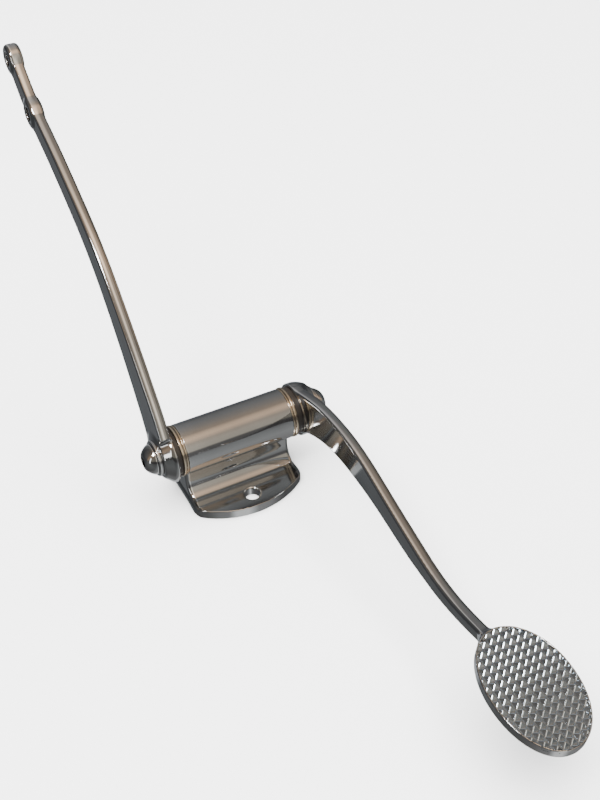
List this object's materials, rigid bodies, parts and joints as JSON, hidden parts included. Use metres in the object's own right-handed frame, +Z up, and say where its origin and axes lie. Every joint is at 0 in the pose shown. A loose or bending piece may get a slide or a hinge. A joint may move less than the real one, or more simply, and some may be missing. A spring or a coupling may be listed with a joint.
{
  "type": "foot pedal lever assembly",
  "caption": "Floor-mounted foot pedal and drilled lever arm keyed to one cross shaft, turning in a flanged pivot bracket.",
  "frame": {"origin": "centre of the base underside, between the two mounting holes", "axes": "+X along the pivot shaft from the lever side to the pedal side, +Y from the pedal towards the lever, +Z up out of the base"},
  "size_m": [0.1172, 0.4456, 0.193],
  "materials": {
    "plated_bracket": "polished nickel-chrome plate over steel",
    "plated_lever": "polished nickel-chrome plate over forged steel",
    "plated_pedal": "polished nickel-chrome plate over forged steel",
    "shaft_steel": "ground steel, greased",
    "bushing_bronze": "turned bearing bronze",
    "thrust_washer_black": "dark acetal, oiled",
    "plated_washer": "plated steel washer",
    "plated_screw": "plated steel button-head screw"
  },
  "bodies": {
    "bracket": {"pivot_bracket": "plated_bracket", "lever_bushing": "bushing_bronze", "pedal_bushing": "bushing_bronze", "lever_thrust_washer": "thrust_washer_black", "pedal_thrust_washer": "thrust_washer_black"},
    "rocker": {"pivot_shaft": "shaft_steel", "lever_arm": "plated_lever", "pedal_arm": "plated_pedal", "lever_key": "shaft_steel", "pedal_key": "shaft_steel", "lever_washer": "plated_washer", "pedal_washer": "plated_washer", "lever_screw": "plated_screw", "pedal_screw": "plated_screw"}
  },
  "joints": [
    {"name": "pedal_pivot", "type": "hinge", "parent": "bracket", "child": "rocker", "pos_m": [0, 0, 0.033], "axis": [1, 0, 0], "range_deg": [-35, 7]}
  ]
}
